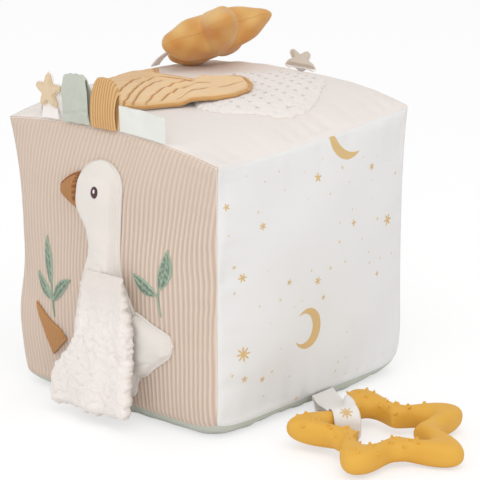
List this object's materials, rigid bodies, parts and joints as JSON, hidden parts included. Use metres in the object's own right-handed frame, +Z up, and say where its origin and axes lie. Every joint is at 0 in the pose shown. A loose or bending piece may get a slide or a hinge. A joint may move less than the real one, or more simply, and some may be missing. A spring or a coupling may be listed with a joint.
{
  "type": "soft fabric activity block",
  "caption": "Stuffed fabric block for babies with a padded goose, a lifting wing, a wing flap, seam tags, a tethered plush star, an inner rattle and a star teether on a strap.",
  "frame": {"origin": "middle of the flat base on the surface the block rests on", "axes": "+Z up through the block; -Y out of the goose panel; +X out of the printed panel, towards the teether"},
  "size_m": [0.2722, 0.1931, 0.1934],
  "materials": {
    "wadding": "loose white polyester wadding",
    "rattle_shell": "white moulded plastic",
    "beige_rib": "fine ribbed beige cotton",
    "printed_cotton": "off-white cotton printed with gold moons and stars",
    "cream_cotton": "plain cream-pink cotton",
    "sage_velour": "soft sage green velour",
    "white_velour": "short white velour",
    "boucle": "curly white boucle",
    "ochre_cord": "ribbed and embroidered ochre cotton",
    "mustard_velour": "mustard velour",
    "cream_velour": "cream velour",
    "white_felt": "white cotton felt and tape",
    "label_tape": "plain white woven tape",
    "crinkle_film": "thin crinkly plastic film",
    "teether_rubber": "smooth matt mustard natural rubber"
  },
  "bodies": {
    "block": {"wadding_lower": "wadding", "wadding_upper": "wadding", "rattle_shell_lower": "rattle_shell", "rattle_shell_upper": "rattle_shell", "front_panel": "beige_rib", "right_panel": "printed_cotton", "back_panel": "cream_cotton", "left_panel": "sage_velour", "top_panel": "cream_cotton", "bottom_panel": "sage_velour", "goose_body": "white_velour", "goose_tail": "white_velour", "goose_beak": "ochre_cord", "goose_foot": "ochre_cord", "feather_patch": "cream_velour"},
    "rattle_bead_1": {"rattle_bead_1": "rattle_shell"},
    "rattle_bead_2": {"rattle_bead_2": "rattle_shell"},
    "rattle_bead_3": {"rattle_bead_3": "rattle_shell"},
    "goose_wing": {"goose_wing_lining": "white_velour", "goose_wing_film": "crinkle_film", "goose_wing_face": "boucle"},
    "wing_flap": {"wing_flap_lining": "cream_cotton", "wing_flap_film": "crinkle_film", "wing_flap_face": "ochre_cord"},
    "plush_star": {"plush_star_upper": "mustard_velour", "plush_star_lower": "mustard_velour", "plush_star_wadding": "wadding", "plush_star_ribbon": "white_felt"},
    "star_tag": {"star_tag_felt": "white_felt", "star_tag_velour": "cream_velour"},
    "sage_loop": {"sage_tag_loop": "sage_velour"},
    "ochre_loop": {"ochre_tag_loop": "ochre_cord"},
    "label": {"seam_label": "label_tape"},
    "rear_star_tag": {"rear_star_tag_felt": "white_felt", "rear_star_tag_velour": "cream_velour"},
    "strap": {"teether_strap": "white_felt"},
    "teether": {"teether_star": "teether_rubber"}
  },
  "joints": [
    {"name": "goose_wing_lift", "type": "hinge", "parent": "block", "child": "goose_wing", "pos_m": [0.0113, -0.0888, 0.0822], "axis": [-1, 0, 0], "range_deg": [0, 90]},
    {"name": "wing_flap_lift", "type": "hinge", "parent": "block", "child": "wing_flap", "pos_m": [-0.0425, -0.028, 0.1598], "axis": [0.815, -0.5795, 0], "range_deg": [0, 85]},
    {"name": "plush_star_flip", "type": "hinge", "parent": "block", "child": "plush_star", "pos_m": [-0.0764, 0.0385, 0.157], "axis": [0, -1, 0], "range_deg": [0, 90]},
    {"name": "star_tag_flex", "type": "hinge", "parent": "block", "child": "star_tag", "pos_m": [-0.0404, -0.076, 0.154], "axis": [1, 0, 0], "range_deg": [-20, 20], "stiffness_Nm_per_rad": 0.002},
    {"name": "sage_loop_flex", "type": "hinge", "parent": "block", "child": "sage_loop", "pos_m": [-0.02, -0.076, 0.1548], "axis": [1, 0, 0], "range_deg": [-20, 20], "stiffness_Nm_per_rad": 0.002},
    {"name": "ochre_loop_flex", "type": "hinge", "parent": "block", "child": "ochre_loop", "pos_m": [-0.0003, -0.076, 0.1552], "axis": [1, 0, 0], "range_deg": [-20, 20], "stiffness_Nm_per_rad": 0.002},
    {"name": "label_flex", "type": "hinge", "parent": "block", "child": "label", "pos_m": [0.0275, -0.0752, 0.154], "axis": [1, 0, 0], "range_deg": [-20, 20], "stiffness_Nm_per_rad": 0.002},
    {"name": "rear_star_tag_flex", "type": "hinge", "parent": "block", "child": "rear_star_tag", "pos_m": [-0.0015, 0.0775, 0.1587], "axis": [1, 0, 0], "range_deg": [-20, 20], "stiffness_Nm_per_rad": 0.002},
    {"name": "strap_lift", "type": "hinge", "parent": "block", "child": "strap", "pos_m": [0.0773, 0.004, 0.0065], "axis": [0, -1, 0], "range_deg": [0, 45]},
    {"name": "teether_swing", "type": "hinge", "parent": "strap", "child": "teether", "pos_m": [0.119, -0.0272, 0.0098], "axis": [-0.5925, -0.8056, 0], "range_deg": [0, 6]},
    {"name": "bead_1_roll", "type": "hinge", "parent": "block", "child": "rattle_bead_1", "pos_m": [0, 0, 0.0775], "axis": [0, 0, 1], "range_deg": [-50, 50]},
    {"name": "bead_2_roll", "type": "hinge", "parent": "block", "child": "rattle_bead_2", "pos_m": [0, 0, 0.0775], "axis": [0, 0, 1], "range_deg": [-50, 50]},
    {"name": "bead_3_roll", "type": "hinge", "parent": "block", "child": "rattle_bead_3", "pos_m": [0, 0, 0.0775], "axis": [0, 0, 1], "range_deg": [-50, 50]}
  ]
}
